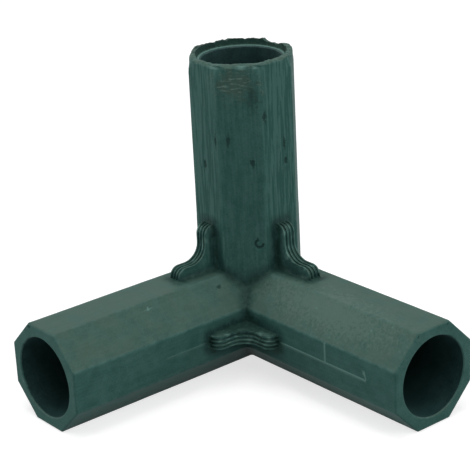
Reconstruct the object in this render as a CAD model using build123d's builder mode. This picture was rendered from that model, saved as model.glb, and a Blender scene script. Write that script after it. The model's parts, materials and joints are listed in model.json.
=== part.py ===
from build123d import *
import os

# Three-way corner connector for garden stakes, moulded in one piece.
# Three octagonal arms meet at right angles, each with a round socket open at its mouth.
# A ribbed gusset braces the inner corner between each two arms.
# The axes of the arms meet at the node. The origin is on the underside, straight below the node.
# All sizes are in millimetres.

# Sockets
stake_diameter = 16.0
stake_clearance = 0.4
socket_wall = 2.3
corner_web = 2.3
rim_chamfer = 0.25

# Arms, measured from the node
arm_length = 53.6
facet_count = 8
facet_edge_round = 0.5
mouth_round = 0.5

# Collar that stands above the socket's ledge on the upright arm
collar_height = 1.4
collar_round = 1.0
collar_flare = 0.45
ledge_chamfer = 0.35
ledge_width = 0.25

# Gussets, measured from the facets that they stand on
gusset_thickness = 3.0
gusset_height = 2.5
gusset_sweep = 3.6
gusset_flat = 1.7
nose_round = 2.1

# Ridges along the hollow edge of each gusset
ridge_count = 4
ridge_width = 0.42
groove_depth = 0.35

# Worked out from the sizes above
bore_radius = (stake_diameter + stake_clearance) / 2
half_width = bore_radius + socket_wall
half_corner = 180 / facet_count
socket_floor = bore_radius + corner_web
upright_length = arm_length + collar_height
ledge_start = bore_radius + ledge_chamfer
ledge_radius = ledge_start + ledge_width
gusset_crest = half_width + gusset_height
gusset_reach = gusset_crest + gusset_sweep + gusset_flat + nose_round
ridge_pitch = (gusset_thickness - ridge_width) / (ridge_count - 1)
ridge_starts = [i * ridge_pitch - gusset_thickness / 2 for i in range(ridge_count)]

# Mouths of the sockets, as points of radius and distance from the node
level_mouth = [
    (bore_radius, arm_length - rim_chamfer),
    (bore_radius + rim_chamfer, arm_length),
    (0, arm_length),
]
upright_mouth = [
    (bore_radius, arm_length - ledge_chamfer),
    (ledge_start, arm_length),
    (ledge_radius, arm_length),
    (ledge_radius + collar_flare, upright_length),
    (0, upright_length),
]

# Each arm's plane stands at the node and faces out of the arm's mouth
node = (0, 0, half_width)
east_plane = Plane(origin=node, x_dir=(0, 1, 0), z_dir=(1, 0, 0))
north_plane = Plane(origin=node, x_dir=(0, 0, 1), z_dir=(0, 1, 0))
upright_plane = Plane(origin=node, x_dir=(1, 0, 0), z_dir=(0, 0, 1))

# A gusset's outline has one axis along each of the arms that it braces, which these same planes give
gusset_planes = [east_plane, north_plane, upright_plane]


def arm_blank(length, edge_round):
    """One arm as a solid octagonal bar, standing on the node with its mouth up, and with its edges rounded."""
    with BuildPart() as blank:
        with BuildSketch():
            RegularPolygon(half_width, facet_count, major_radius=False, rotation=half_corner)
        extrude(amount=length)
        mouth = blank.faces().sort_by(Axis.Z)[-1]
        fillet(mouth.edges(), edge_round)
        fillet(blank.edges().filter_by(Axis.Z), facet_edge_round)
    return blank.part


def gusset_outline(inset):
    """One gusset seen flat: a hollow sweep between two rounded noses, closed inside the arms."""
    crest = gusset_crest - inset
    reach = gusset_reach - inset
    nose = nose_round - inset
    with BuildSketch() as outline:
        with BuildLine():
            first_foot = Line((0, 0), (reach, 0))
            first_end = Line(first_foot @ 1, (reach, crest - nose))
            first_nose = JernArc(first_end @ 1, first_end % 1, nose, 90)
            first_leg = Line(first_nose @ 1, (gusset_crest + gusset_sweep, crest))
            hollow = JernArc(first_leg @ 1, first_leg % 1, gusset_sweep + inset, -90)
            second_leg = Line(hollow @ 1, (crest, reach - nose))
            second_nose = JernArc(second_leg @ 1, second_leg % 1, nose, 90)
            second_end = Line(second_nose @ 1, (0, reach))
            Line(second_end @ 1, (0, 0))
        make_face()
    return outline.sketch


def socket_section(mouth_points):
    """Half the section of a socket, from its floor up the wall and on through the points of its mouth."""
    with BuildSketch() as section:
        with BuildLine():
            Polyline((0, socket_floor), (bore_radius, socket_floor), *mouth_points, close=True)
        make_face()
    return section.sketch


# Core at the node: what three octagonal bars through it have in common, which closes the outer corner
with BuildPart() as core:
    for plane, mode in [
        (east_plane, Mode.ADD),
        (north_plane, Mode.INTERSECT),
        (upright_plane, Mode.INTERSECT),
    ]:
        with BuildSketch(plane):
            RegularPolygon(half_width, facet_count, major_radius=False, rotation=half_corner)
        extrude(amount=half_width, both=True, mode=mode)
    fillet(core.edges(), facet_edge_round)

with BuildPart() as corner_connector:
    # Arms on the core, each running out from the node to its mouth
    add(core.part)
    with Locations(east_plane, north_plane):
        add(arm_blank(arm_length, mouth_round))
    with Locations(upright_plane):
        add(arm_blank(upright_length, collar_round))

    # Gussets, each a plain web with ridges that stand out along its hollow edge
    for plane in gusset_planes:
        with BuildSketch(plane.offset(-gusset_thickness / 2)):
            add(gusset_outline(groove_depth))
        extrude(amount=gusset_thickness)
        with BuildSketch(*[plane.offset(start) for start in ridge_starts]):
            add(gusset_outline(0))
        extrude(amount=ridge_width)

    # Sockets, each turned about the axis of its arm
    for plane, mouth_points in [
        (east_plane, level_mouth),
        (north_plane, level_mouth),
        (upright_plane, upright_mouth),
    ]:
        with BuildSketch(Plane(origin=node, x_dir=plane.x_dir, z_dir=plane.x_dir.cross(plane.z_dir))):
            add(socket_section(mouth_points))
        revolve(axis=Axis(node, plane.z_dir), mode=Mode.SUBTRACT)

corner_connector.part.label = "corner_connector"

os.makedirs("parts", exist_ok=True)
export_step(corner_connector.part, "parts/corner_connector.step")
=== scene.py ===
"""Looks of a three-way corner connector for garden stakes, moulded in one piece of dark green plastic."""

import json
import logging
import math
from dataclasses import dataclass
from enum import Enum
from typing import Any, Iterable

import bmesh
import bpy
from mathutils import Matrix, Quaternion, Vector, kdtree, noise


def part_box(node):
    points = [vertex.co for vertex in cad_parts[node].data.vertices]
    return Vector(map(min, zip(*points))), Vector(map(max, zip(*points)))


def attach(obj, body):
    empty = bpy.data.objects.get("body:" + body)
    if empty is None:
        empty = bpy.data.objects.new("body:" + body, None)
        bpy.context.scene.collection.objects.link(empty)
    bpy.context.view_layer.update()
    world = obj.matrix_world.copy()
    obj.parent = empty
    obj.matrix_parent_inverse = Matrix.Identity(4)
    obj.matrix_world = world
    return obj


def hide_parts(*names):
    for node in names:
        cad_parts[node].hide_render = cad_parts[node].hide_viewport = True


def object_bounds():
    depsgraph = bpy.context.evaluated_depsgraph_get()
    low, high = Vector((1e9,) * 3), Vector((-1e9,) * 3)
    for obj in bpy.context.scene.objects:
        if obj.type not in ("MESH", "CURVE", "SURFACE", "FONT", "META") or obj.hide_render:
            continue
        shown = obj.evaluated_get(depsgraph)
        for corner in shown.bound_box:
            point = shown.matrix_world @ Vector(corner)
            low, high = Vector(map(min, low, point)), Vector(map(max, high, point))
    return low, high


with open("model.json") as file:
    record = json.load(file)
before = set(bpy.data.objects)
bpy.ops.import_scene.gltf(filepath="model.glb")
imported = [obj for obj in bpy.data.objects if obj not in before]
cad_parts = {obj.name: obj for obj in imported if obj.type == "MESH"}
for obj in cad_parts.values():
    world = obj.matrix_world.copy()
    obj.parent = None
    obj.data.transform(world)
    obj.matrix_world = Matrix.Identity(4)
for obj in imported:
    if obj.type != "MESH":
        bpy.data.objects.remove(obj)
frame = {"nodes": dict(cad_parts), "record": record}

CAD_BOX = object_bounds()
NODE_NAME = "corner_connector"
BODY_NAME = "root"
PHOTO_WIDTH = 470
NOISE_SEED = 1
MM = 0.001
TENTH = 0.1 * MM
FACET_TURN = math.radians(45.0)

Pair = tuple[float, float]
Triple = tuple[float, float, float]
Colour = tuple[float, float, float, float]
Shape = bmesh.types.BMesh
Face = bmesh.types.BMFace
Point = bmesh.types.BMVert
Socket = bpy.types.NodeSocket

logger = logging.getLogger(NODE_NAME)


class Arm(Enum):
    """The three arms, each by the axis along which it runs out from the node."""

    EAST = 0
    NORTH = 1
    UPRIGHT = 2

    @property
    def along(self) -> Vector:
        """Unit vector from the node to the arm's mouth."""
        return Vector([float(axis == self.value) for axis in range(3)])

    def reach(self, place: Vector) -> float:
        """How far a place, measured from the node, lies along the arm."""
        return place[self.value]

    def radius(self, place: Vector) -> float:
        """How far a place, measured from the node, lies from the arm's axis."""
        return (place - self.along * self.reach(place)).length

    def octagon(self, place: Vector) -> float:
        """Half width of the octagon about the arm's axis on which a place lies."""
        first, second = [abs(place[axis]) for axis in range(3) if axis != self.value]
        return max(first, second, (first + second) / math.sqrt(2))


# Each level arm, with the other one
LEVEL_ARMS = ((Arm.EAST, Arm.NORTH), (Arm.NORTH, Arm.EAST))


class Region(Enum):
    """Parts of the moulding's surface that have finishes of their own."""

    SKIN = 0
    SOCKET = 1
    COLLAR = 2


class Trace(Enum):
    """What the mesh stores at each point for the finishes to read."""

    EDGE = "edge"
    HOLLOW = "hollow"
    DEPTH = "depth"
    HIGHLIGHT_SHARE = "raised"
    SUNK = "sunk"

    def add(self, shape: Shape) -> None:
        """Adds the layer to a shape."""
        shape.verts.layers.float.new(self.value)

    def layer(self, shape: Shape) -> bmesh.types.BMLayerItem:
        """The layer on a shape."""
        return shape.verts.layers.float[self.value]


def smooth_step(value: float, low: float, high: float) -> float:
    """Rises smoothly from 0 at low to 1 at high."""
    share = min(1.0, max(0.0, (value - low) / (high - low)))
    return share * share * (3.0 - 2.0 * share)


def bearing(place: Vector) -> float:
    """Direction of a place about the upright's axis, in radians from +X towards +Y."""
    return math.atan2(place.y, place.x)


def add_object(name: str, data: bpy.types.ID) -> bpy.types.Object:
    """Makes an object of a mesh, a lamp or a camera, and links it to the scene.

    Args:
        name: The object's name.
        data: What it is made of.

    Returns:
        The object.
    """
    made = bpy.data.objects.new(name, data)
    bpy.context.scene.collection.objects.link(made)
    return made


@dataclass(frozen=True)
class Layout:
    """The main sizes of the moulding, in metres, measured from the node where the arms' axes meet.

    Attributes:
        node: Where the node is in the frame.
        half_width: Half width of the arms across their facets.
        arm_end: Where the level arms' mouths and the upright's ledge lie.
        crest: Where the collar's crest lies.
        bore_radius: Radius of the sockets.
    """

    node: Vector
    half_width: float
    arm_end: float
    crest: float
    bore_radius: float

    @classmethod
    def from_frame(cls) -> "Layout":
        """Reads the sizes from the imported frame.

        Returns:
            The layout of the CAD node.
        """
        low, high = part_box(NODE_NAME)
        bores = [mount for mount in frame["record"]["mounts"] if mount["kind"] == "bore"]
        return cls(
            node=Vector((0.0, 0.0, -low.x)),
            half_width=-low.x,
            arm_end=high.x,
            crest=high.z + low.x,
            bore_radius=bores[0]["dims"]["r_mm"] * MM,
        )

    def end_of(self, arm: Arm) -> float:
        """Where an arm ends."""
        return self.crest if arm is Arm.UPRIGHT else self.arm_end


@dataclass(frozen=True)
class Mark:
    """A mark in the surface.

    Attributes:
        centre: Its middle from the node, in millimetres.
        radius: Its radius, in millimetres.
        depth: Its depth in millimetres, below zero where it stands on the surface.
    """

    centre: Triple
    radius: float
    depth: float

    @property
    def middle(self) -> Vector:
        """Its middle from the node, in metres."""
        return Vector(self.centre) * MM


@dataclass(frozen=True)
class Pit(Mark):
    """A shallow dent, such as a bubble or a knock, or a speck that stands on the surface.

    Attributes:
        stretch: How many times longer it is along the arm than across it.
        arm: The arm along which it is stretched.
        raggedness: How much noise widens and narrows it.
        grain: Size of that noise, as a share of the radius.
        least: Least factor by which the noise scales a distance from the middle.
    """

    stretch: float = 1.0
    arm: Arm = Arm.UPRIGHT
    raggedness: float = 0.7
    grain: float = 0.6
    least: float = 0.3

    @property
    def extent(self) -> float:
        """How far the dent reaches from its middle, in metres."""
        return self.radius * max(1.0, self.stretch) * MM

    def sink(self, place: Vector) -> float:
        """Says how far the surface sinks at a place measured from the node.

        Args:
            place: The place, in metres.

        Returns:
            The depth there, in metres.
        """
        offset = place - self.middle
        along = self.arm.reach(offset)
        offset -= self.arm.along * (along - along / self.stretch)
        swing = self.raggedness * noise.noise(place / (self.grain * self.radius * MM))
        share = min(1.0, max(self.least, 1.0 + swing) * offset.length / (self.radius * MM))
        return self.depth * MM * (1.0 - share * share)


@dataclass(frozen=True)
class HookMark(Mark):
    """A hooked groove that an ejector pin has left on a facet. Its radius is that of the hook's line.

    Attributes:
        normal: The facet's outward direction.
        width: Half width of the groove, in millimetres.
        gap: Direction of the hook's open side, in degrees above the level.
        gap_width: Half angle of the open side, in degrees.
        gap_ease: Angle over which the groove then deepens, in degrees.
    """

    centre: Triple = (5.3, 9.55, 16.7)
    radius: float = 0.8
    depth: float = 0.18
    normal: Triple = (1.0, 1.0, 0.0)
    width: float = 0.26
    gap: float = 50.0
    gap_width: float = 40.0
    gap_ease: float = 20.0

    @property
    def extent(self) -> float:
        """How far the mark reaches from its middle, in metres."""
        return (self.radius + self.width) * MM

    def sink(self, place: Vector) -> float:
        """Says how far the surface sinks at a place measured from the node.

        Args:
            place: The place, in metres.

        Returns:
            The depth there, in metres.
        """
        offset = place - self.middle
        if offset.length > self.extent:
            return 0.0
        side = Vector((0.0, 0.0, 1.0)).cross(Vector(self.normal).normalized())
        turn = math.degrees(math.atan2(offset.z, offset.dot(side))) - self.gap
        turn = abs((turn + 180.0) % 360.0 - 180.0)
        off_line = abs(offset.length - self.radius * MM) / (self.width * MM)
        ring = max(0.0, 1.0 - off_line * off_line)
        return self.depth * MM * ring * smooth_step(turn, self.gap_width, self.gap_width + self.gap_ease)


@dataclass(frozen=True)
class PartingBead:
    """The proud line that the mould's halves leave along the middle of the level arms' side facets.

    Attributes:
        height: How far it stands out, in millimetres.
        width: Width of the cells that it is made in, in millimetres.
        foot: Half width of its foot, in cells.
        before: How many cells are cut on its one side.
        after: How many are cut on its other side.
        start: Where it starts on the side with the gusset, from the node in millimetres.
        stop: Where it turns up to the facet's edge on the north arm, in millimetres.
        lean: How far the turned end rises for each millimetre that it leans towards the node.
        rung: Where a second line crosses from it to the facet's edge on that arm, in millimetres.
        faint: Its share of the full height on the east arm, whose half of the mould closed better.
        faint_stop: Where it ends on the east arm, in millimetres.
        slack: How far off a facet's plane a point of the line may lie, in millimetres.
    """

    height: float = 0.11
    width: float = 0.1
    foot: float = 1.5
    before: float = 2.0
    after: float = 2.5
    start: float = 20.6
    stop: float = 45.6
    lean: float = 4.0
    rung: float = 34.2
    faint: float = 0.35
    faint_stop: float = 31.0
    slack: float = 0.02

    def rise(self, place: Vector, half_width: float) -> float:
        """Says how far the lines stand out at a place measured from the node.

        Args:
            place: The place, in metres.
            half_width: Half width of the arms, in metres.

        Returns:
            The height there, in metres.
        """
        best = 0.0
        for arm, other in LEVEL_ARMS:
            if abs(abs(other.reach(place)) - half_width) > self.slack * MM:
                continue
            reach, inner, faint = arm.reach(place), other.reach(place) > 0, arm is Arm.EAST
            stop = self.faint_stop if faint else self.stop
            gaps = []
            if not inner and reach > -half_width or self.start * MM < reach < stop * MM:
                gaps.append(abs(place.z))
            if inner and not faint and 0.0 < place.z < half_width / 2:
                turned = self.stop * MM - place.z / self.lean
                gaps += [abs(reach - turned), abs(reach - self.rung * MM)]
            for gap in gaps:
                share = 1.0 - min(1.0, gap / (self.foot * (self.width * MM))) ** 2
                best = max(best, (self.faint if faint else 1.0) * share)
        return best * self.height * MM


@dataclass(frozen=True)
class Collar:
    """The upright's collar, whose crest tore as it left the mould. Painted shade darkens its back, and
    painted highlights lie on its ledge and front lip.

    A direction is in degrees from +X towards +Y. A zone gives the depths below the crest at which something
    starts and is in full, in millimetres. An edge gives the cosines of the angles from a stretch's middle at
    which it does so.

    Attributes:
        layout: The moulding's main sizes.
        ledge_chamfer: Width of the slope from the ledge into the socket, in millimetres.
        wall_width: Width from the facets inwards that is no part of the inner wall, in millimetres.
        wall_start: How far below the ledge the inner wall may start, in millimetres.
        wall_rise: Least rise above the ledge of each of its faces, in millimetres.
        ledge_highlight: How strong the painted highlight on the ledge is.
        ledge_slack: How far above or below the ledge a highlighted point may be, in millimetres.
        ledge_middle: How far outside the slope the highlighted band's middle is, in millimetres.
        ledge_reach: Half width of that band, in millimetres.
        lip_highlight: How strong the painted highlights on the front lip are.
        lip_zone: Zone of the lip.
        lip_glints: Direction and half angle of each painted highlight on it.
        back_shade_share: How much painted shade darkens the crest's back.
        back_shade_depth: How far down that painted shade reaches, in millimetres.
        unshaded_rim_width: Width of the crest's outer part that it leaves unshaded, in millimetres.
        back_shade_middle: Direction of the shaded stretch.
        back_shade_edge: Edge of that stretch.
        shoulder: How far beyond the facets the octagon's corners still stand at the crest, in millimetres.
        shoulder_zone: Zone in which those corners are drawn in.
        tear_zone: Zone that is torn.
        front: Direction of the front.
        twist: Height over which the tear changes as much as over a radian, in millimetres.
        dip: Depth of the crest's long dips at the back, and what the front adds to it, in millimetres.
        dip_noise: Mean, swing and fineness of those dips.
        nick: Depth of its short nicks at the back, and what the front takes from it, in millimetres.
        nick_noise: Fineness of those nicks.
        saddle: Depth of the flat dip beside the dirty stretch, in millimetres.
        saddle_middle: Direction of that dip.
        saddle_edge: Edge of that dip.
        shift: How far the crest is pushed sideways, in millimetres.
        shift_noise: Fineness of that push.
    """

    layout: Layout
    ledge_chamfer: float = 0.35
    wall_width: float = 1.0
    wall_start: float = 0.1
    wall_rise: float = 0.2
    ledge_highlight: float = 0.8
    ledge_slack: float = 0.06
    ledge_middle: float = 0.2
    ledge_reach: float = 0.25
    lip_highlight: float = 0.9
    lip_zone: Pair = (1.2, 0.25)
    lip_glints: tuple[Pair, ...] = ((18.0, 9.0), (50.0, 8.0), (64.0, 4.0))
    back_shade_share: float = 0.9
    back_shade_depth: float = 0.9
    unshaded_rim_width: float = 0.2
    back_shade_middle: float = 257.0
    back_shade_edge: Pair = (0.3, 0.65)
    shoulder: float = 0.15
    shoulder_zone: Pair = (3.2, 0.4)
    tear_zone: Pair = (1.6, 0.1)
    front: float = 45.0
    twist: float = 8.0
    dip: Pair = (0.15, 0.55)
    dip_noise: Triple = (0.5, 0.7, 2.3)
    nick: Pair = (0.55, 0.3)
    nick_noise: float = 11.0
    saddle: float = 0.45
    saddle_middle: float = 185.0
    saddle_edge: Pair = (0.96, 0.985)
    shift: float = 0.12
    shift_noise: float = 6.0

    def _heights(self, zone: Pair) -> Pair:
        """The heights above the node at which a zone starts and is in full, in metres."""
        return self.layout.crest - zone[0] * MM, self.layout.crest - zone[1] * MM

    def _facing(self, place: Vector, middle: float) -> float:
        """Cosine of the angle between a place's direction and another one."""
        return math.cos(bearing(place) - math.radians(middle))

    def is_lined(self, places: list[Vector]) -> bool:
        """Whether a face with these corners, measured from the node, is on the collar's inner wall."""
        ledge, rim = self.layout.arm_end, self.layout.half_width - self.wall_width * MM
        lowest = ledge - self.wall_start * MM
        inside = all(place.z > lowest and Arm.UPRIGHT.radius(place) < rim for place in places)
        return inside and max(place.z for place in places) > ledge + self.wall_rise * MM

    def glint(self, place: Vector) -> float:
        """Says how strong the painted highlight on the ledge or the front lip is at a place measured from
        the node.

        Args:
            place: The place, in metres.

        Returns:
            The painted highlight's share there, from 0 to 1.
        """
        radius, wall = Arm.UPRIGHT.radius(place), self.layout.bore_radius + self.ledge_chamfer * MM
        on_ledge = abs(place.z - self.layout.arm_end) < self.ledge_slack * MM
        if on_ledge and abs(radius - wall - self.ledge_middle * MM) < self.ledge_reach * MM:
            return self.ledge_highlight
        low, high = self._heights(self.lip_zone)
        if not low < place.z < high or radius <= wall:
            return 0.0
        turn = math.degrees(bearing(place))
        fades = [smooth_step(abs(turn - middle), 0.0, width) for middle, width in self.lip_glints]
        return max(self.lip_highlight - self.lip_highlight * fade for fade in fades)

    def back_shade(self, place: Vector) -> float:
        """Says how much painted shade darkens the crest's back at a place measured from the node.

        Args:
            place: The place, in metres.

        Returns:
            The painted shade's share there, from 0 to 1.
        """
        crest, rim = self.layout.crest, self.layout.half_width - self.unshaded_rim_width * MM
        if place.z < crest - self.back_shade_depth * MM or Arm.UPRIGHT.radius(place) > rim:
            return 0.0
        return self.back_shade_share * smooth_step(self._facing(place, self.back_shade_middle), *self.back_shade_edge)

    def draw_in(self, place: Vector) -> Vector:
        """Says how the octagon's corners are drawn in near the crest, where the rim is nearly round.

        Args:
            place: A place measured from the node, in metres.

        Returns:
            The move there.
        """
        share = smooth_step(place.z, *self._heights(self.shoulder_zone))
        excess = Arm.UPRIGHT.radius(place) - self.layout.half_width - self.shoulder * MM
        if share == 0.0 or excess <= 0.0:
            return Vector()
        return Vector((place.x, place.y, 0.0)).normalized() * (-excess * share)

    def tear(self, place: Vector) -> Vector:
        """Says how the torn crest has moved at a place measured from the node.

        Args:
            place: The place, in metres.

        Returns:
            The move, which is down and sideways.
        """
        share = smooth_step(place.z, *self._heights(self.tear_zone))
        if share == 0.0:
            return Vector()
        angle = bearing(place)
        ring = Vector((math.cos(angle), math.sin(angle), place.z / (self.twist * MM)))
        front = 0.5 + 0.5 * self._facing(place, self.front)
        mean, swing, fineness = self.dip_noise
        drop = (self.dip[0] + self.dip[1] * front) * (mean + swing * noise.noise(ring * fineness))
        nick = (self.nick[0] - self.nick[1] * front) * abs(noise.noise(ring * self.nick_noise))
        nick += self.saddle * smooth_step(self._facing(place, self.saddle_middle), *self.saddle_edge)
        sideways = noise.noise_vector(ring * self.shift_noise) * self.shift * MM
        sideways.z = 0.0
        return Vector((0.0, 0.0, -(max(0.0, drop) + nick) * MM)) * share + sideways * share


@dataclass
class Moulding:
    """The whole connector: the CAD node's form, with the marks that moulding and use have left on it.

    Attributes:
        layout: The CAD node's main sizes.
        collar: The upright's collar.
        weld: Distance under which the CAD mesh's points are one point, in metres.
        flat_angle: Angle up to which two faces are one flat, in degrees.
        sliver_length: Length from which a thin face is a sliver, in millimetres.
        sliver_width: Mean width up to which it is one, in millimetres.
        pitch: Size of the surface's cells, in millimetres.
        fine_pitch: Size of the cells at the collar, in millimetres.
        fine_zone: Depth below the crest that has fine cells, in millimetres.
        mark_cells: Number of cells on a mark's radius.
        wall_slack: How far outside a bore a face of its wall may lie, in millimetres.
        side_slack: How far off its plane a face of a side facet may lie, in millimetres.
        facet_slack: How far off its plane a point of a facet may lie, in millimetres.
        point_slack: How far off a bore or the upright's facets a point on them may lie, in millimetres.
        inner_angle: Least angle of an inner corner, in degrees.
        outer_angle: Least angle of an outer edge, in degrees.
        crease_angle: Least angle of an edge that shades sharply, in degrees.
        wear_reach: How far from the outer edges their trace reaches, in millimetres.
        corner_shade_reach: How far from the inner corners their trace, which carries grime and painted
            shade, reaches, in millimetres.
        shade_depth: Depth in a socket at which its trace is full, in millimetres.
        easing: How far each pass of the easing draws a point towards its neighbours.
        hollow_passes: How often the inner corners are eased.
        hollow_reach: How far beyond the inner corners the easing goes, in millimetres.
        edge_passes: How often the upright's facet edges are eased.
        edge_reach: How far beside those edges the easing goes, in millimetres.
        edge_wear: Share of the other edges' wear that they show.
        sink: Mean depth by which the facets have sunk, in millimetres.
        swell: Height and wave length of the facets' long waves, in millimetres.
        ripple: Height and wave length of their short waves, in millimetres.
        ridge_start: How far outside the arms' facets the painted glints on the gussets' ridges start, in
            millimetres.
        ridge_glint_swing: Swing of those painted glints, and what is taken from it.
        ridge_grain: Size of the noise that breaks it up, in millimetres.
        bead: The parting line.
        hook: The ejector pin's mark.
        pits: Dents in the surface, and a few specks that stand on it.
    """

    layout: Layout
    collar: Collar
    weld: float = 1e-6
    flat_angle: float = 0.2
    sliver_length: float = 8.0
    sliver_width: float = 0.05
    pitch: float = 0.9
    fine_pitch: float = 0.35
    fine_zone: float = 2.6
    mark_cells: int = 4
    wall_slack: float = 0.05
    side_slack: float = 0.01
    facet_slack: float = 0.02
    point_slack: float = 0.1
    inner_angle: float = 15.0
    outer_angle: float = 10.0
    crease_angle: float = 40.0
    wear_reach: float = 1.2
    corner_shade_reach: float = 2.4
    shade_depth: float = 12.0
    easing: float = 0.5
    hollow_passes: int = 4
    hollow_reach: float = 0.6
    edge_passes: int = 3
    edge_reach: float = 1.1
    edge_wear: float = 0.3
    sink: float = 0.05
    swell: Pair = (0.06, 14.0)
    ripple: Pair = (0.02, 2.6)
    ridge_start: float = 0.3
    ridge_glint_swing: Pair = (3.0, 0.3)
    ridge_grain: float = 1.3
    bead: PartingBead = PartingBead()
    hook: HookMark = HookMark()
    pits: tuple[Pit, ...] = (
        Pit((13.66, 6.05, 8.8), 0.5, 0.16, arm=Arm.EAST),
        Pit((31.5, 5.56, 9.29), 0.45, -0.09, raggedness=1.0),
        Pit((10.5, -0.4, 33.0), 0.5, 0.16, 2.2),
        Pit((10.5, 3.3, 38.6), 0.32, 0.15, 4.6),
        Pit((9.12, 5.73, 39.0), 0.5, 0.13, 2.0),
        Pit((5.76, 9.09, 34.2), 0.55, 0.16, 1.4),
        Pit((5.66, 9.19, 48.0), 0.6, 0.04, 2.8),
        Pit((-1.9, 10.5, 33.2), 0.42, 0.15, 2.2),
        Pit((-1.65, 10.5, 36.9), 0.32, 0.14, 4.2),
        Pit((3.3, 10.5, 43.6), 0.6, 0.14, 1.8),
        Pit((0.98, 15.95, 10.5), 0.28, -0.05),
        Pit((4.9, 47.28, 9.95), 0.25, -0.05),
        Pit((6.44, 43.12, 8.41), 0.28, -0.05),
        Pit((6.49, 27.68, 8.36), 0.28, -0.05),
        Pit((4.79, 10.5, -2.71), 0.3, -0.05),
    )

    def build(self) -> bpy.types.Object:
        """Makes the moulding's mesh from a copy of the CAD node.

        Returns:
            The finished object, which stands for the CAD node.
        """
        shape = self._copy_node()
        self._sort_regions(shape)
        self._dice(shape)
        corners = self._find_corners(shape)
        self._measure_edges(shape, corners)
        self._measure_depths(shape)
        self._ease_hollows(shape, corners)
        self._ease_edges(shape)
        self._age(shape)
        self._keep_in_box(shape)
        return self._finish(shape)

    def _from_node(self, place: Vector) -> Vector:
        """A place in the frame, measured from the node instead."""
        return place - self.layout.node

    def _centre_of(self, face: Face) -> Vector:
        """A face's centre, measured from the node."""
        return self._from_node(face.calc_center_median())

    def _copy_node(self) -> Shape:
        """Copies the CAD node's loose triangles, joins them and clears the flats of inner edges.

        Returns:
            The joined shape.
        """
        shape = bmesh.new()
        shape.from_mesh(frame["nodes"][NODE_NAME].data)
        for trace in Trace:
            trace.add(shape)
        bmesh.ops.remove_doubles(shape, verts=shape.verts, dist=self.weld)
        bmesh.ops.dissolve_limit(
            shape,
            angle_limit=math.radians(self.flat_angle),
            use_dissolve_boundaries=False,
            verts=shape.verts,
            edges=shape.edges,
        )
        self._join_slivers(shape)
        return shape

    def _join_slivers(self, shape: Shape) -> None:
        """Joins the thin faces along each facet's rounded edge into one band, which shades evenly."""
        inner = []
        for edge in shape.edges:
            width = self.sliver_width * MM * edge.calc_length()
            thin = all(face.calc_area() < width for face in edge.link_faces)
            if thin and edge.calc_length() > self.sliver_length * MM:
                inner.append(edge)
        bmesh.ops.dissolve_edges(shape, edges=inner, use_verts=False, use_face_split=False)

    def _region_of(self, face: Face) -> Region:
        """Says which region a face belongs to.

        Args:
            face: A face of the undivided shape.

        Returns:
            The region.
        """
        places = [self._from_node(vert.co) for vert in face.verts]
        bore = self.layout.bore_radius
        for arm in Arm:
            brim = self.collar.ledge_chamfer if arm is Arm.UPRIGHT else 0.0
            wall = bore + (brim + self.wall_slack) * MM
            if all(arm.radius(place) < wall and arm.reach(place) > bore for place in places):
                return Region.SOCKET
        return Region.COLLAR if self.collar.is_lined(places) else Region.SKIN

    def _sort_regions(self, shape: Shape) -> None:
        """Gives each face the material of its region."""
        for face in shape.faces:
            face.material_index = self._region_of(face).value

    def _cut(
        self, shape: Shape, faces: list[Face], arm: Arm, start: float, stop: float, pitch: float
    ) -> None:
        """Cuts faces into slices across one axis.

        Args:
            shape: The shape.
            faces: The faces to cut.
            arm: The arm whose axis the cuts cross.
            start: Where the slices start, from the node in metres.
            stop: Where they stop.
            pitch: Their thickness, in metres.
        """
        cells: list[Any] = [*faces]
        for face in faces:
            cells += [*face.edges, *face.verts]
        cells = list(dict.fromkeys(cells))
        for step in range(1, math.ceil((stop - start) / pitch)):
            place = self.layout.node + arm.along * (start + step * pitch)
            cut = bmesh.ops.bisect_plane(
                shape, geom=cells, dist=self.weld, plane_co=place, plane_no=arm.along
            )
            cells = cut["geom"]

    def _dice(self, shape: Shape) -> None:
        """Divides the surface into small cells, finer at the collar, the parting lines and the marks."""
        half, crest = self.layout.half_width, self.layout.crest
        for arm in Arm:
            faces = [
                face
                for face in shape.faces
                if face.material_index != Region.SOCKET.value or arm.radius(self._centre_of(face)) < half
            ]
            self._cut(shape, faces, arm, -half, self.layout.end_of(arm), self.pitch * MM)
        zone = crest - self.fine_zone * MM
        for arm in Arm:
            faces = [face for face in shape.faces if self._centre_of(face).z > zone]
            start, stop = (zone, crest) if arm is Arm.UPRIGHT else (-half, half)
            self._cut(shape, faces, arm, start, stop, self.fine_pitch * MM)
        self._dice_beads(shape)
        for mark in (*self.pits, self.hook):
            self._dice_mark(shape, mark)

    def _dice_beads(self, shape: Shape) -> None:
        """Adds cuts along the parting lines on the level arms' side facets."""
        width = self.bead.width * MM
        before, after = self.bead.before * width, self.bead.after * width
        for arm, other in LEVEL_ARMS:
            for axis, line in ((Arm.UPRIGHT, 0.0), (arm, self.bead.rung * MM), (arm, self.bead.stop * MM)):
                side = [face for face in shape.faces if self._is_on_side(face, arm, other)]
                self._cut(shape, side, axis, line - before, line + after, width)

    def _is_on_side(self, face: Face, arm: Arm, other: Arm) -> bool:
        """Whether a face is on one of the upright side facets of a level arm."""
        centre, half = self._centre_of(face), self.layout.half_width
        level = abs(abs(other.reach(centre)) - half) < self.side_slack * MM
        return level and arm.reach(centre) > -half and abs(centre.z) < half / 2

    def _dice_mark(self, shape: Shape, mark: Pit | HookMark) -> None:
        """Adds fine cuts around one mark."""
        centre, extent, pitch = mark.middle, mark.extent, mark.radius * MM / self.mark_cells
        reach = extent + self.pitch * MM
        for arm in Arm:
            near = [face for face in shape.faces if (self._centre_of(face) - centre).length < reach]
            middle = arm.reach(centre)
            self._cut(shape, near, arm, middle - extent, middle + extent, pitch)

    def _is_on_facet(self, place: Vector) -> bool:
        """Whether a place, measured from the node, is on a facet of one of the arms."""
        half = self.layout.half_width
        return any(abs(arm.octagon(place) - half) < self.facet_slack * MM for arm in Arm)

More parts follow.
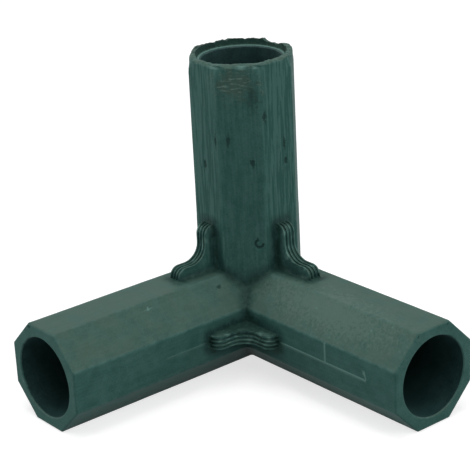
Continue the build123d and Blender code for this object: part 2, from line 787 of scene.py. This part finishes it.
    def _find_corners(self, shape: Shape) -> set[Point]:
        """Finds the inner corners between the arms and at the feet of the gussets.

        Args:
            shape: The divided shape.

        Returns:
            The corners' points.
        """
        corners = set()
        for edge in shape.edges:
            if math.degrees(edge.calc_face_angle_signed(0.0)) < -self.inner_angle:
                if all(self._is_on_facet(self._from_node(vert.co)) for vert in edge.verts):
                    corners.update(edge.verts)
        return corners

    def _tree_of(self, verts: Iterable[Point]) -> kdtree.KDTree:
        """Sorts points into a tree that finds the nearest of them.

        Args:
            verts: The points.

        Returns:
            The tree.
        """
        places = sorted(tuple(vert.co) for vert in verts)
        tree = kdtree.KDTree(len(places))
        for index, place in enumerate(places):
            tree.insert(place, index)
        tree.balance()
        return tree

    def _measure_edges(self, shape: Shape, corners: set[Point]) -> None:
        """Stores how near each point is to an outer edge and to an inner corner.

        Args:
            shape: The divided shape.
            corners: The inner corners' points.
        """
        sharp = math.radians(self.outer_angle)
        edges = [edge for edge in shape.edges if edge.calc_face_angle_signed(0.0) > sharp]
        outer = {vert for edge in edges for vert in edge.verts}
        for trace, seeds, reach in (
            (Trace.EDGE, outer, self.wear_reach * MM),
            (Trace.HOLLOW, corners, self.corner_shade_reach * MM),
        ):
            layer, tree = trace.layer(shape), self._tree_of(seeds)
            for vert in shape.verts:
                vert[layer] = max(0.0, 1.0 - tree.find(vert.co)[2] / reach)

    def _measure_depths(self, shape: Shape) -> None:
        """Stores how deep each point is in a socket."""
        layer, bore = Trace.DEPTH.layer(shape), self.layout.bore_radius
        for vert in shape.verts:
            place = self._from_node(vert.co)
            for arm in Arm:
                if arm.radius(place) < bore + self.point_slack * MM and arm.reach(place) > bore:
                    depth = self.layout.end_of(arm) - arm.reach(place)
                    vert[layer] = min(1.0, depth / (self.shade_depth * MM))

    def _ease(self, shape: Shape, verts: list[Point], passes: int) -> None:
        """Draws points towards their neighbours, several times over."""
        for _ in range(passes):
            bmesh.ops.smooth_vert(
                shape, verts=verts, factor=self.easing, use_axis_x=True, use_axis_y=True, use_axis_z=True
            )

    def _ease_hollows(self, shape: Shape, corners: set[Point]) -> None:
        """Rounds the inner corners between the arms and at the feet of the gussets."""
        tree = self._tree_of(corners)
        near = [vert for vert in shape.verts if tree.find(vert.co)[2] < self.hollow_reach * MM]
        self._ease(shape, near, self.hollow_passes)

    def _ease_edges(self, shape: Shape) -> None:
        """Rounds the upright's facet edges, which left the mould softer than the level arms' edges."""
        half, half_turn = self.layout.half_width, FACET_TURN / 2
        layer = Trace.EDGE.layer(shape)
        near = []
        for vert in shape.verts:
            place = self._from_node(vert.co)
            angle = (bearing(place) + half_turn) % FACET_TURN
            aside = half * math.tan(half_turn) - half * math.tan(abs(angle - half_turn))
            outside = Arm.UPRIGHT.radius(place) > half - self.point_slack * MM
            if outside and aside < self.edge_reach * MM and 2 * half < place.z < self.layout.arm_end:
                near.append(vert)
                vert[layer] *= self.edge_wear
        self._ease(shape, near, self.edge_passes)

    def _ridge_glint(self, place: Vector, edge: float) -> float:
        """Says how strong the painted glints on the gussets' ridges are at a place measured from the node.

        Args:
            place: The place, in metres.
            edge: How near it is to an outer edge, from 0 to 1.

        Returns:
            The glints' share there, from 0 to 1.
        """
        nearest = min((arm.octagon(place) for arm in Arm if arm.reach(place) > 0.0), default=0.0)
        if nearest <= self.layout.half_width + self.ridge_start * MM:
            return 0.0
        swing, loss = self.ridge_glint_swing
        return max(0.0, swing * noise.noise(place / (self.ridge_grain * MM)) - loss) * edge

    def _age(self, shape: Shape) -> None:
        """Sinks and waves the surface, tears the collar's crest and presses in the marks.

        Stores how far marks raise or sink each point, in tenths of a millimetre: the first gives the share
        of painted highlight, the second that of painted shade. The painted glints on the ledge, the front
        lip and the gussets' ridges add to the first.

        Args:
            shape: The eased shape.
        """
        edge, hollow, _, raised, sunk = (trace.layer(shape) for trace in Trace)
        shape.normal_update()
        moves = []
        for vert in shape.verts:
            place = self._from_node(vert.co)
            move = -self.sink * MM
            for height, length in (self.swell, self.ripple):
                move -= height * MM * (0.5 + 0.5 * noise.noise(vert.co / (length * MM)))
            bead = self.bead.rise(place, self.layout.half_width)
            sink = sum(mark.sink(place) for mark in (*self.pits, self.hook))
            move += bead - sink
            # Painted highlights: glints on the ledge, the front lip and the gussets' ridges
            glint = max(self.collar.glint(place), self._ridge_glint(place, vert[edge]))
            back_shade = self.collar.back_shade(place)
            vert[raised] = (bead + max(0.0, -sink)) / TENTH + glint
            # Dents take painted shade from this trace
            vert[sunk] = max(0.0, sink) / TENTH
            # The crest's back takes painted shade through the corners' trace, and loses its edge wear
            vert[hollow] = max(vert[hollow], back_shade)
            vert[edge] *= 1.0 - back_shade
            moves.append(vert.normal * move + self.collar.tear(place) + self.collar.draw_in(place))
        for vert, move in zip(shape.verts, moves):
            vert.co += move

    def _keep_in_box(self, shape: Shape) -> None:
        """Holds every point inside the CAD model's box."""
        low, high = CAD_BOX
        for vert in shape.verts:
            vert.co = Vector(map(min, map(max, vert.co, low), high))

    def _finish(self, shape: Shape) -> bpy.types.Object:
        """Turns the shape into an object that stands for the CAD node.

        Args:
            shape: The aged shape, which is freed.

        Returns:
            The object.
        """
        for face in shape.faces:
            face.smooth = True
        for edge in shape.edges:
            edge.smooth = abs(edge.calc_face_angle(0.0)) < math.radians(self.crease_angle)
        mesh = bpy.data.meshes.new("connector_moulding")
        shape.to_mesh(mesh)
        shape.free()
        made = add_object("connector_moulding", mesh)
        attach(made, BODY_NAME)
        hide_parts(NODE_NAME)
        return made


class Wiring:
    """Adds nodes to one shader tree and joins them."""

    def __init__(self, tree: bpy.types.NodeTree) -> None:
        """Starts on an empty tree."""
        self.tree = tree
        tree.nodes.clear()

    def feed(self, socket: Socket, value: Any) -> None:
        """Joins an output to a socket, or sets the socket to a plain value."""
        if isinstance(value, Socket):
            self.tree.links.new(value, socket)
        else:
            socket.default_value = value

    def node(self, kind: str, inputs: dict[Any, Any] | None = None, **settings: Any) -> bpy.types.Node:
        """Adds a node.

        Args:
            kind: The node's type name.
            inputs: Values or outputs for its sockets, by name or number.
            **settings: The node's own properties.

        Returns:
            The node.
        """
        made = self.tree.nodes.new(kind)
        for name, value in settings.items():
            setattr(made, name, value)
        for key, value in (inputs or {}).items():
            self.feed(made.inputs[key], value)
        return made

    def math(self, operation: str, first: Any, second: Any = 0.0) -> Socket:
        """The result of an operation on two values."""
        return self.node("ShaderNodeMath", {0: first, 1: second}, operation=operation).outputs[0]

    def plus(self, first: Any, second: Any) -> Socket:
        """The sum of two values."""
        return self.math("ADD", first, second)

    def minus(self, first: Any, second: Any) -> Socket:
        """The first value less the second."""
        return self.math("SUBTRACT", first, second)

    def times(self, first: Any, second: Any) -> Socket:
        """The product of two values."""
        return self.math("MULTIPLY", first, second)

    def split(self, vector: Any) -> list[Socket]:
        """The three parts of a vector."""
        return list(self.node("ShaderNodeSeparateXYZ", {0: vector}).outputs)

    def join(self, *parts: Any) -> Socket:
        """The vector that has three parts."""
        return self.node("ShaderNodeCombineXYZ", dict(enumerate(parts))).outputs[0]

    def spread(self, value: Any, low: float, high: float, start: float = 0.0, stop: float = 1.0) -> Socket:
        """A value that goes smoothly from start at low to stop at high."""
        made = self.node(
            "ShaderNodeMapRange",
            {"Value": value, "From Min": low, "From Max": high, "To Min": start, "To Max": stop},
            interpolation_type="SMOOTHSTEP",
        )
        return made.outputs[0]

    def blend(self, share: Any, first: Any, second: Any) -> Socket:
        """A colour between two colours."""
        return self.node("ShaderNodeMix", {0: share, 6: first, 7: second}, data_type="RGBA").outputs[2]

    def noise(self, vector: Any, scale: Any, detail: float, roughness: float) -> Socket:
        """A noise pattern from 0 to 1."""
        made = self.node(
            "ShaderNodeTexNoise",
            {"Vector": vector, "Scale": scale, "Detail": detail, "Roughness": roughness},
            noise_dimensions="3D",
        )
        return made.outputs[0]


class Effect:
    """A shader node group with named inputs and outputs, shared by several finishes."""

    def __init__(self, name: str, inputs: dict[str, Any], outputs: tuple[str, ...]) -> None:
        """Makes the group and its sockets.

        Args:
            name: The group's name.
            inputs: Each input's name and starting value. A vector starts as None.
            outputs: Each output's name. A name that ends in Vector is one.
        """
        self.group = bpy.data.node_groups.new(name, "ShaderNodeTree")
        self.wiring = Wiring(self.group)
        for label, value in inputs.items():
            kind = "NodeSocketVector" if value is None else "NodeSocketFloat"
            socket = self.group.interface.new_socket(label, in_out="INPUT", socket_type=kind)
            if value is not None:
                socket.default_value = value
        for label in outputs:
            kind = "NodeSocketVector" if label.endswith("Vector") else "NodeSocketFloat"
            self.group.interface.new_socket(label, in_out="OUTPUT", socket_type=kind)
        self.given = self.wiring.node("NodeGroupInput").outputs
        self.result = self.wiring.node("NodeGroupOutput").inputs

    def put(self, label: str, value: Socket) -> None:
        """Joins a value to one of the group's outputs."""
        self.wiring.feed(self.result[label], value)

    def place(self, wiring: Wiring, **inputs: Any) -> Any:
        """Puts the group into a tree.

        Args:
            wiring: The tree's wiring.
            **inputs: Values for the group's inputs.

        Returns:
            The placed group's outputs.
        """
        return wiring.node("ShaderNodeGroup", inputs, node_tree=self.group).outputs


class Effects:
    """The effects that the finishes share, each built once."""

    def __init__(self, layout: Layout) -> None:
        """Builds the groups.

        Args:
            layout: The moulding's main sizes.
        """
        self.layout = layout
        self.along_arm = self._along_arm()
        self.grain = self._grain()
        self.streaks = self._streaks()
        self.wear = self._wear()
        self.scratches = self._scratches()
        self.dust_and_sheen = self._dust_and_sheen()
        self.patch = self._patch()

    def _along_arm(self) -> Effect:
        """A place from the node, squeezed along the arm that it is on, so that a pattern runs along it."""
        effect = Effect("along_arm", {"Vector": None, "Squeeze": 0.05}, ("Squeezed Vector", "Upright"))
        wiring, given = effect.wiring, effect.given
        x, y, z = wiring.split(given["Vector"])
        upright = wiring.math("GREATER_THAN", z, wiring.math("MAXIMUM", x, y))
        level = wiring.minus(1.0, upright)
        east = wiring.times(wiring.math("GREATER_THAN", x, y), level)
        loss = wiring.minus(1.0, given["Squeeze"])
        squeezed = [
            wiring.times(value, wiring.minus(1.0, wiring.times(mask, loss)))
            for value, mask in ((x, east), (y, wiring.minus(level, east)), (z, upright))
        ]
        effect.put("Squeezed Vector", wiring.join(*squeezed))
        effect.put("Upright", upright)
        return effect

    def _grain(self) -> Effect:
        """The fine uneven grain that the mould leaves, as a tone and a height."""
        inputs = {"Vector": None, "Fine Scale": 2600.0, "Coarse Scale": 420.0}
        effect = Effect("mould_grain", inputs, ("Tone", "Height"))
        wiring, given = effect.wiring, effect.given
        fine = wiring.noise(given["Vector"], given["Fine Scale"], detail=2.0, roughness=0.6)
        coarse = wiring.noise(given["Vector"], given["Coarse Scale"], detail=3.0, roughness=0.55)
        for label, share in (("Tone", 0.45), ("Height", 0.3)):
            effect.put(label, wiring.plus(wiring.times(fine, share), wiring.times(coarse, 1.0 - share)))
        return effect

    def _streaks(self) -> Effect:
        """Long drag marks along the arms, plainest on the upright's sides."""
        inputs = {"Vector": None, "Scale": 1900.0, "Squeeze": 0.06}
        effect = Effect("drag_streaks", inputs, ("Tone", "Height"))
        wiring, given = effect.wiring, effect.given
        # How plainly they show on the upright's front, on its sides and on the level arms
        front, side, level = 0.15, 1.1, 0.12
        along = self.along_arm.place(wiring, Vector=given["Vector"], Squeeze=given["Squeeze"])
        lines = wiring.noise(along["Squeezed Vector"], given["Scale"], detail=3.0, roughness=0.6)
        x, y, _ = wiring.split(given["Vector"])
        aside = wiring.math("ABSOLUTE", wiring.minus(x, y))
        drawn = wiring.spread(aside, 6.0 * MM, 10.0 * MM, front, side)
        strength = wiring.plus(wiring.times(along["Upright"], drawn), level)
        swing = wiring.times(wiring.minus(wiring.spread(lines, 0.35, 0.68), 0.45), strength)
        effect.put("Tone", wiring.plus(swing, 0.5))
        effect.put("Height", lines)
        return effect

    def _wear(self) -> Effect:
        """How much the outer edges are rubbed, and how much grime and painted shade darken the inner
        corners.
        """
        inputs = {"Vector": None, "Edge": 0.0, "Hollow": 0.0, "Scale": 700.0}
        effect = Effect("edge_wear", inputs, ("Rubbed", "Grime And Shade"))
        wiring, given = effect.wiring, effect.given
        most_rubbed, least_corner_shade = 0.35, 0.5
        broken = wiring.noise(given["Vector"], given["Scale"], detail=3.0, roughness=0.6)
        rubbed = wiring.spread(given["Edge"], 0.7, 1.0)
        effect.put("Rubbed", wiring.times(rubbed, wiring.spread(broken, 0.4, 0.65, 0.0, most_rubbed)))
        # Grime and painted shade near the inner corners, broken up by noise
        corner_shade = wiring.spread(given["Hollow"], 0.0, 1.0)
        effect.put("Grime And Shade", wiring.times(corner_shade, wiring.spread(broken, 0.25, 0.7, least_corner_shade, 1.0)))
        return effect

    def _scratches(self) -> Effect:
        """Short fine scratches that run level across the upright's front facet."""
        effect = Effect("fine_scratches", {"Vector": None, "Scale": 2500.0, "Squeeze": 0.22}, ("Mask",))
        wiring, given = effect.wiring, effect.given
        turned = wiring.node(
            "ShaderNodeVectorRotate",
            {"Vector": given["Vector"], "Angle": -FACET_TURN},
            rotation_type="Z_AXIS",
        )
        x, y, z = wiring.split(turned.outputs[0])
        squeezed = wiring.join(x, wiring.times(y, given["Squeeze"]), z)
        lines = wiring.noise(squeezed, given["Scale"], detail=2.0, roughness=0.5)
        effect.put("Mask", wiring.spread(lines, 0.54, 0.63))
        return effect

    def _dust_and_sheen(self) -> Effect:
        """Dust that has settled on whatever faces up, with a painted sheen that lightens and greys those
        faces.
        """
        effect = Effect("dust_and_painted_sheen", {"Vector": None, "Rise": 0.0, "Scale": 260.0}, ("Mask",))
        wiring, given = effect.wiring, effect.given
        thinnest = 0.5
        uneven = wiring.noise(given["Vector"], given["Scale"], detail=4.0, roughness=0.65)
        facing = wiring.spread(given["Rise"], 0.3, 0.7)
        effect.put("Mask", wiring.times(facing, wiring.spread(uneven, 0.3, 0.7, thinnest, 1.0)))
        return effect

    def _patch(self) -> Effect:
        """A soft-edged patch round one place, broken up by noise."""
        inputs = {"Vector": None, "Centre": None, "Size": None, "Scale": 500.0}
        effect = Effect("local_patch", inputs, ("Mask",))
        wiring, given = effect.wiring, effect.given
        # How much the noise moves its edge, and where it ends and is in full, in half widths
        raggedness, outside, inside = 3.0, 1.1, 0.2
        offset = given["Vector"]
        for operation, label in (("SUBTRACT", "Centre"), ("DIVIDE", "Size")):
            step = wiring.node("ShaderNodeVectorMath", {0: offset, 1: given[label]}, operation=operation)
            offset = step.outputs["Vector"]
        share = wiring.node("ShaderNodeVectorMath", {0: offset}, operation="LENGTH").outputs["Value"]
        broken = wiring.noise(given["Vector"], given["Scale"], detail=4.0, roughness=0.65)
        uneven = wiring.plus(share, wiring.times(wiring.minus(broken, 0.5), raggedness))
        effect.put("Mask", wiring.spread(uneven, outside, inside))
        return effect


@dataclass(frozen=True)
class Patch:
    """A place where the plastic has another tone.

    Attributes:
        centre: Its middle from the node, in millimetres.
        size: Its half width along each axis, in millimetres.
        colour: Its colour.
        strength: How much of the plastic's colour it takes.
        scale: How fine the noise is that breaks it up, per metre.
        scratched: How plainly fine scratches show in it.
        scratch: The scratches' colour.
    """

    centre: Triple
    size: Triple
    colour: Colour
    strength: float
    scale: float
    scratched: float = 0.0
    scratch: Colour = (0.12, 0.215, 0.18, 1.0)

    def lay(self, wiring: Wiring, effects: Effects, vector: Any, colour: Any) -> Socket:
        """Lays the patch over a colour.

        Args:
            wiring: The material's wiring.
            effects: The shared effects.
            vector: Places measured from the node.
            colour: The colour below.

        Returns:
            The colour with the patch on it.
        """
        centre, size = (tuple(value * MM for value in values) for values in (self.centre, self.size))
        mask = effects.patch.place(wiring, Vector=vector, Centre=centre, Size=size, Scale=self.scale)["Mask"]
        colour = wiring.blend(wiring.times(mask, self.strength), colour, self.colour)
        if self.scratched > 0.0:
            lines = wiring.times(mask, effects.scratches.place(wiring, Vector=vector)["Mask"])
            colour = wiring.blend(wiring.times(lines, self.scratched), colour, self.scratch)
        return colour


@dataclass(frozen=True)
class MouldedPlastic:
    """A finish of the dark green plastic.

    Attributes:
        name: The finish's name.
        deep: The plastic's colour in its darker parts.
        pale: Its colour in its lighter parts.
        tones: The grain's tones at which it is as dark and as light as that.
        rubbed: Its colour where edges are rubbed.
        highlight_colour: A painted highlight's colour, laid on the marks that stand out and on the glints of
            the ledge, the lip and the ridges.
        most_highlight: Most that this colour takes.
        grime_and_shade: Its colour where grime and painted shade darken it, in the inner corners, in dents
            and deep in a socket.
        most_dent_shade: Most that this colour takes as painted shade in a dent.
        dust_and_sheen: Its colour where dust has settled and a painted sheen lightens what faces up.
        dust_and_sheen_share: How much of the colour the dust and the painted sheen take.
        roughness: Lowest and highest roughness.
        specular: Strength of its plain reflection.
        grain_height: Height of its grain, in millimetres.
        streak_height: Height of its drag marks, in millimetres.
        streak_share: How much the drag marks tint it.
        shade: How much painted shade darkens it with depth in a socket.
        patches: Places of another tone.
    """

    name: str = "green_plastic_skin"
    deep: Colour = (0.026, 0.085, 0.073, 1.0)
    pale: Colour = (0.051, 0.127, 0.112, 1.0)
    tones: Pair = (0.36, 0.64)
    rubbed: Colour = (0.085, 0.17, 0.15, 1.0)
    highlight_colour: Colour = (0.125, 0.24, 0.21, 1.0)
    most_highlight: float = 0.8
    grime_and_shade: Colour = (0.01, 0.032, 0.027, 1.0)
    most_dent_shade: float = 0.75
    dust_and_sheen: Colour = (0.088, 0.118, 0.088, 1.0)
    dust_and_sheen_share: float = 0.45
    roughness: Pair = (0.42, 0.58)
    specular: float = 0.08
    grain_height: float = 0.025
    streak_height: float = 0.006
    streak_share: float = 0.4
    shade: float = 0.0
    patches: tuple[Patch, ...] = ()

    def _colour(self, wiring: Wiring, effects: Effects, vector: Socket, tone: Socket) -> Socket:
        """Builds up the colour, from the plastic to the painted highlights, the grime and the painted shade.

        Args:
            wiring: The material's wiring.
            effects: The shared effects.
            vector: Places measured from the node.
            tone: The tone of the grain and the drag marks.

        Returns:
            The colour.
        """
        edge, hollow, depth, raised, sunk = (
            wiring.node("ShaderNodeAttribute", attribute_name=trace.value).outputs["Fac"] for trace in Trace
        )
        _, _, rise = wiring.split(wiring.node("ShaderNodeNewGeometry").outputs["Normal"])
        # Dust and painted sheen on whatever faces up
        dust_and_sheen = effects.dust_and_sheen.place(wiring, Vector=vector, Rise=rise)["Mask"]
        wear = effects.wear.place(wiring, Vector=vector, Edge=edge, Hollow=hollow)
        colour = wiring.blend(wiring.spread(tone, *self.tones), self.deep, self.pale)
        colour = wiring.blend(wiring.times(dust_and_sheen, self.dust_and_sheen_share), colour, self.dust_and_sheen)
        for patch in self.patches:
            colour = patch.lay(wiring, effects, vector, colour)
        for share, coat in (
            (wear["Rubbed"], self.rubbed),
            # Painted highlight on the bead, on specks that stand out and on the glints
            (wiring.math("MINIMUM", raised, self.most_highlight), self.highlight_colour),
            # Painted shade in the dents
            (wiring.math("MINIMUM", sunk, self.most_dent_shade), self.grime_and_shade),
            # Grime and painted shade in the inner corners, and painted shade on the crest's back
            (wear["Grime And Shade"], self.grime_and_shade),
            # Painted shade deep in a socket
            (wiring.times(depth, self.shade), self.grime_and_shade),
        ):
            colour = wiring.blend(share, colour, coat)
        return colour

    def build(self, effects: Effects) -> bpy.types.Material:
        """Makes the material.

        Args:
            effects: The shared effects.

        Returns:
            The material.
        """
        material = bpy.data.materials.new(self.name)
        material.use_nodes = True
        wiring = Wiring(material.node_tree)
        place = wiring.node("ShaderNodeTexCoord").outputs["Object"]
        vector = wiring.node("ShaderNodeMapping", {0: place, "Location": -effects.layout.node}).outputs[0]
        grain = effects.grain.place(wiring, Vector=vector)
        streaks = effects.streaks.place(wiring, Vector=vector)
        drawn = wiring.times(streaks["Tone"], self.streak_share)
        tone = wiring.plus(drawn, wiring.times(grain["Tone"], 1.0 - self.streak_share))
        relief = {"Height": streaks["Height"], "Distance": self.streak_height * MM}
        lower = wiring.node("ShaderNodeBump", relief).outputs[0]
        relief = {"Height": grain["Height"], "Distance": self.grain_height * MM, "Normal": lower}
        upper = wiring.node("ShaderNodeBump", relief).outputs[0]
        plastic = wiring.node(
            "ShaderNodeBsdfPrincipled",
            {
                "Base Color": self._colour(wiring, effects, vector, tone),
                "Roughness": wiring.spread(grain["Tone"], 0.3, 0.7, *self.roughness),
                "Specular IOR Level": self.specular,
                "Normal": upper,
            },
        )
        wiring.node("ShaderNodeOutputMaterial", {"Surface": plastic.outputs[0]})
        return material


@dataclass(frozen=True)
class Finishes:
    """The finishes of the moulding's regions.

    Attributes:
        skin: The finish of the arms and the gussets.
        socket: The finish inside the sockets, whose darker colours are painted shade.
        collar: The finish of the collar's inner wall, whose dark colours are painted shade.
    """

    skin: MouldedPlastic = MouldedPlastic(
        patches=(
            Patch((7.6, 7.2, 50.6), (5.0, 5.0, 4.0), (0.064, 0.092, 0.071, 1.0), 0.55, 900.0, scratched=0.7),
            Patch((6.0, 31.0, 8.9), (6.0, 22.0, 5.5), (0.098, 0.162, 0.136, 1.0), 0.62, 1500.0),
            # Painted shade in the valley where the arms meet below the upright
            Patch((7.0, 8.0, 8.0), (5.0, 5.0, 5.0), (0.02, 0.06, 0.048, 1.0), 0.4, 900.0),
            Patch((5.4, 9.4, 47.8), (1.6, 1.6, 4.0), (0.016, 0.05, 0.042, 1.0), 0.6, 900.0),
            # Painted shade on the web between the level arms
            Patch((12.8, 12.8, 1.7), (5.5, 5.5, 1.6), (0.008, 0.028, 0.024, 1.0), 0.8, 1300.0),
            # Painted shade on and beside the gusset between the upright and the north arm
            Patch((1.6, 14.5, 11.6), (1.5, 6.0, 4.0), (0.012, 0.036, 0.031, 1.0), 0.6, 1300.0),
        )
    )
    socket: MouldedPlastic = MouldedPlastic(
        name="green_plastic_socket",
        # A darker copy of the plastic: painted shade inside the sockets
        deep=(0.011, 0.034, 0.034, 1.0),
        pale=(0.022, 0.061, 0.06, 1.0),
        dust_and_sheen_share=0.0,
        roughness=(0.5, 0.65),
        specular=0.2,
        streak_share=0.12,
        shade=0.8,
    )
    collar: MouldedPlastic = MouldedPlastic(
        name="green_plastic_torn_and_shaded",
        # A much darker copy of the plastic: painted shade on the collar's inner wall
        deep=(0.005, 0.015, 0.011, 1.0),
        pale=(0.026, 0.066, 0.05, 1.0),
        dust_and_sheen_share=0.0,
        roughness=(0.6, 0.8),
        grain_height=0.2,
        streak_share=0.1,
    )

    def dress(self, moulding: bpy.types.Object, effects: Effects) -> None:
        """Gives the moulding its materials, in the order of its regions.

        Args:
            moulding: The moulding's object.
            effects: The shared effects.
        """
        for finish in (self.skin, self.socket, self.collar):
            moulding.data.materials.append(finish.build(effects))


@dataclass(frozen=True)
class Viewpoint:
    """The camera, which stands where the photographer stood.

    Attributes:
        target: The place that it points at, in metres.
        azimuth: Direction from the target to the camera, in degrees from +X towards +Y.
        elevation: Its height above the target, in degrees.
        distance: Its distance from the target, in metres.
        roll: Its turn about its own line of sight, in degrees.
        focal_pixels: Its focal length in pixels of the photograph.
        sensor_width: Width of its sensor, in millimetres.
        clip: Nearest and farthest distance that it sees, in metres.
    """

    target: Triple = (-0.0008, -0.00579, 0.0233)
    azimuth: float = 51.04
    elevation: float = 21.365
    distance: float = 0.35877
    roll: float = -2.861
    focal_pixels: float = 1675.4
    sensor_width: float = 36.0
    clip: Pair = (0.01, 20.0)

    def place(self) -> None:
        """Makes the scene's camera."""
        data = bpy.data.cameras.new("viewpoint")
        data.sensor_width = self.sensor_width
        data.lens = self.focal_pixels * self.sensor_width / PHOTO_WIDTH
        data.clip_start, data.clip_end = self.clip
        camera = add_object("viewpoint", data)
        turn, lift, roll = (math.radians(angle) for angle in (self.azimuth, self.elevation, self.roll))
        back = Vector((math.cos(lift) * math.cos(turn), math.cos(lift) * math.sin(turn), math.sin(lift)))
        camera.location = Vector(self.target) + back * self.distance
        camera.rotation_mode = "QUATERNION"
        camera.rotation_quaternion = back.to_track_quat("Z", "Y") @ Quaternion((0.0, 0.0, 1.0), roll)
        bpy.context.scene.camera = camera


@dataclass(frozen=True)
class Lamp:
    """A square soft lamp.

    Attributes:
        name: The lamp's name.
        place: Where it hangs, in metres.
        size: Its side, in metres.
        power: Its power, in watts.
    """

    name: str
    place: Triple
    size: float
    power: float

    def hang(self, target: Vector) -> None:
        """Hangs the lamp so that it faces a target."""
        data = bpy.data.lights.new(self.name, "AREA")
        data.shape = "SQUARE"
        data.size = self.size
        data.energy = self.power
        lamp = add_object(self.name, data)
        lamp.location = self.place
        lamp.rotation_mode = "QUATERNION"
        lamp.rotation_quaternion = (Vector(self.place) - target).to_track_quat("Z", "Y")


@dataclass(frozen=True)
class Studio:
    """The plain pale floor, the white surroundings and the soft lamps.

    Attributes:
        floor_size: The floor's side, in metres.
        floor_drop: How far the floor lies below the part, in metres.
        floor_colour: The floor's own colour.
        floor_glow: What the floor adds to its colour in the camera's sight and through glass.
        floor_shine: What it adds to its colour in reflections, where it is pale but not white.
        white: The surroundings' colour.
        fill: Strength of the surroundings' light.
        lamps: The lamps.
    """

    floor_size: float = 6.0
    floor_drop: float = 0.00002
    floor_colour: Colour = (0.52, 0.52, 0.52, 1.0)
    floor_glow: float = 0.7
    floor_shine: float = 0.25
    white: Colour = (1.0, 1.0, 1.0, 1.0)
    fill: float = 0.11
    lamps: tuple[Lamp, ...] = (
        Lamp("overhead", (0.0, 0.0, 1.01), 0.6, 3.65),
        Lamp("left", (0.72, -0.604, 0.352), 0.6, 4.1),
        Lamp("right", (-0.604, 0.72, 0.352), 0.6, 2.8),
        Lamp("front_right", (0.0, 0.819, 0.584), 0.6, 1.9),
        Lamp("front_top", (0.354, 0.354, 0.877), 0.6, 1.8),
    )

    def _seen(self, wiring: Wiring, plain: float, mirrored: float) -> Socket:
        """A strength that holds only where the camera, a reflection or glass sees a surface.

        Args:
            wiring: The tree's wiring.
            plain: The strength for the camera and through glass.
            mirrored: The strength in reflections.

        Returns:
            The strength for the ray in hand.
        """
        path = wiring.node("ShaderNodeLightPath").outputs
        direct = wiring.math("MAXIMUM", path["Is Camera Ray"], path["Is Transmission Ray"])
        mirror = wiring.times(path["Is Glossy Ray"], mirrored)
        return wiring.math("MAXIMUM", wiring.times(direct, plain), mirror)

    def _lay_floor(self) -> None:
        """Lays the pale floor, which keeps the part's shadow."""
        sheet = bmesh.new()
        bmesh.ops.create_grid(sheet, x_segments=1, y_segments=1, size=self.floor_size / 2)
        bmesh.ops.translate(sheet, vec=Vector((0.0, 0.0, -self.floor_drop)), verts=sheet.verts)
        mesh = bpy.data.meshes.new("floor")
        sheet.to_mesh(mesh)
        sheet.free()
        floor = add_object("floor", mesh)
        material = bpy.data.materials.new("pale_floor")
        material.use_nodes = True
        wiring = Wiring(material.node_tree)
        plain = wiring.node("ShaderNodeBsdfDiffuse", {"Color": self.floor_colour})
        strength = self._seen(wiring, self.floor_glow, self.floor_shine)
        glow = wiring.node("ShaderNodeEmission", {"Strength": strength})
        both = wiring.node("ShaderNodeAddShader", {0: plain.outputs[0], 1: glow.outputs[0]})
        wiring.node("ShaderNodeOutputMaterial", {"Surface": both.outputs[0]})
        mesh.materials.append(material)

    def _surround(self) -> None:
        """Makes the surroundings white to the camera and softly lit to the part."""
        world = bpy.data.worlds.new("white_surroundings")
        world.use_nodes = True
        bpy.context.scene.world = world
        wiring = Wiring(world.node_tree)
        rest = 1.0 - self.fill
        strength = wiring.plus(self._seen(wiring, rest, rest), self.fill)
        sky = wiring.node("ShaderNodeBackground", {"Color": self.white, "Strength": strength})
        wiring.node("ShaderNodeOutputWorld", {"Surface": sky.outputs[0]})

    def build(self, target: Vector) -> None:
        """Builds the whole studio.

        Args:
            target: The place that the lamps face.
        """
        self._lay_floor()
        self._surround()
        for lamp in self.lamps:
            lamp.hang(target)
        bpy.context.scene.view_settings.view_transform = "Standard"


def main() -> None:
    """Builds the connector, its finishes and the studio."""
    logging.basicConfig(level=logging.INFO, format="%(name)s: %(message)s")
    # Without a seed, the noise that pushes the crest sideways would follow the clock
    noise.seed_set(NOISE_SEED)
    layout = Layout.from_frame()
    Viewpoint().place()
    Studio().build(layout.node)
    moulding = Moulding(layout, Collar(layout)).build()
    Finishes().dress(moulding, Effects(layout))
    mesh = moulding.data
    logger.info("%s: %d points, %d faces", moulding.name, len(mesh.vertices), len(mesh.polygons))


if __name__ == "__main__":
    main()
